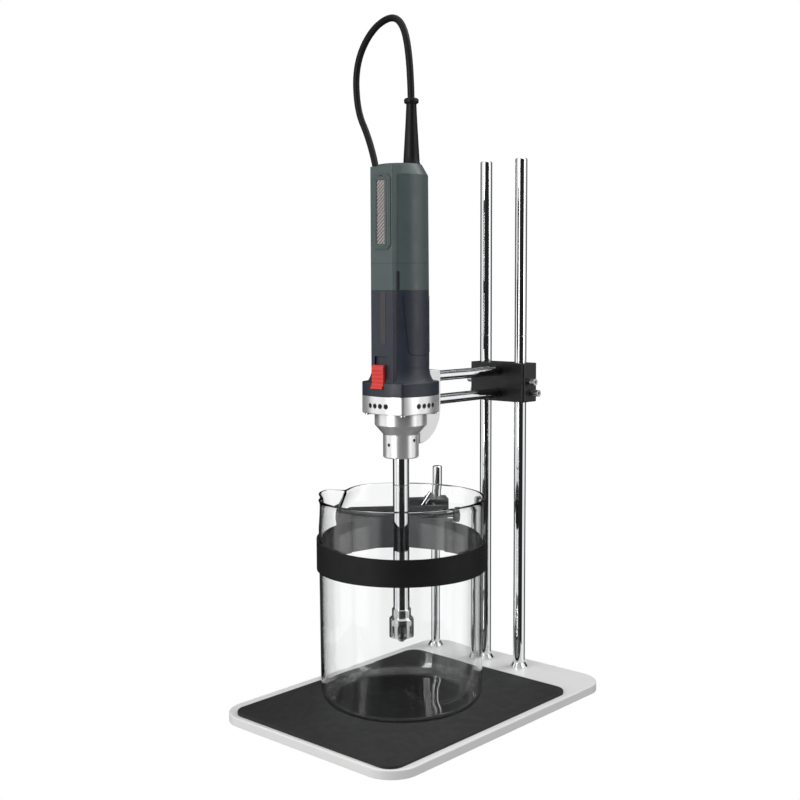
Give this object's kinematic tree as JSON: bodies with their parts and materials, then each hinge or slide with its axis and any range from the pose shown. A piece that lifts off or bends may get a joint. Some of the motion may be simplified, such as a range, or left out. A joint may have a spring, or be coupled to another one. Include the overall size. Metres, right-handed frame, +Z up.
{
  "type": "high shear mixer",
  "caption": "Laboratory high shear mixer: motor with rotor-stator head on a sliding clamp and two rods, over a strapped glass beaker on a flat base.",
  "frame": {"origin": "centre of the base pad's underside, on the bench", "axes": "+Z up; +Y towards the two tall rods; +X to the right when the motor's switch faces the viewer"},
  "size_m": [0.2275, 0.316, 0.6554],
  "materials": {
    "light_paint": "satin",
    "rubber": "matt",
    "chrome": "polished",
    "screw_steel": "plain",
    "glass": "clear",
    "dark_paint": "satin",
    "pale_metal": "satin",
    "bright_alu": "turned",
    "steel": "ground",
    "navy_plastic": "fine grain",
    "green_plastic": "fine grain",
    "tan_plastic": "satin",
    "red_plastic": "satin",
    "black_plastic": "satin",
    "core_iron": "laminated",
    "copper": "plain",
    "bronze": "plain",
    "carbon": "matt"
  },
  "bodies": {
    "stand": {"base_plate": "light_paint", "base_pad": "rubber", "base_mat": "rubber", "rod_left_lower": "chrome", "rod_left_upper": "chrome", "rod_right_lower": "chrome", "rod_right_upper": "chrome", "rod_short": "chrome", "rod_foot_cuffs": "chrome", "rod_bolts": "screw_steel", "beaker": "glass"},
    "carriage": {"clamp_block": "dark_paint", "rod_clamp_screws": "screw_steel", "arm_upper": "chrome", "arm_lower": "chrome", "motor_bracket": "pale_metal", "arm_grub_screws": "screw_steel", "bracket_screws": "screw_steel", "ring_flange": "bright_alu", "collar": "bright_alu", "collar_set_screws": "screw_steel", "collar_screws": "screw_steel", "housing_screws": "screw_steel", "shaft_tube": "chrome", "stator_head": "steel", "front_housing": "navy_plastic", "rear_housing": "green_plastic", "vent_insert": "tan_plastic", "strain_relief": "black_plastic", "cord": "black_plastic", "cord_hank": "black_plastic", "cord_tie": "black_plastic", "plug": "black_plastic", "field_stator": "core_iron", "bearing_lower": "steel", "bearing_upper": "steel", "bearing_neck": "steel", "tube_bush": "bronze", "brushes": "carbon"},
    "rotor": {"motor_shaft": "steel", "armature_core": "core_iron", "commutator": "copper", "fan": "black_plastic", "coupling": "steel", "drive_shaft": "steel", "rotor_head": "steel", "rotor_nut": "steel"},
    "switch": {"switch_slider": "red_plastic"},
    "holder": {"holder_boss": "dark_paint", "holder_link": "screw_steel", "holder_bar": "dark_paint", "holder_jaw": "dark_paint", "strap": "rubber"},
    "knob": {"strap_knob": "black_plastic"},
    "lever": {"boss_lever": "chrome"}
  },
  "joints": [
    {"name": "carriage_slide", "type": "slide", "parent": "stand", "child": "carriage", "axis": [0, 0, 1], "range_m": [-0.045, 0.195]},
    {"name": "rotor_spin", "type": "hinge", "parent": "carriage", "child": "rotor", "pos_m": [0, -0.025, 0.2], "axis": [0, 0, 1], "continuous": true},
    {"name": "switch_slide", "type": "slide", "parent": "carriage", "child": "switch", "axis": [0, 0, 1], "range_m": [0, 0.006]},
    {"name": "holder_slide", "type": "slide", "parent": "stand", "child": "holder", "axis": [0, 0, 1], "range_m": [-0.09, 0.015]},
    {"name": "knob_turn", "type": "hinge", "parent": "holder", "child": "knob", "pos_m": [-0.03239, 0.09131, 0.168], "axis": [-0.66, -0.7513, 0], "range_deg": [-360, 720]},
    {"name": "lever_turn", "type": "hinge", "parent": "holder", "child": "lever", "pos_m": [-0.09068, 0.10219, 0.16], "axis": [-0.7513, 0.66, 0], "range_deg": [-110, 10]}
  ]
}
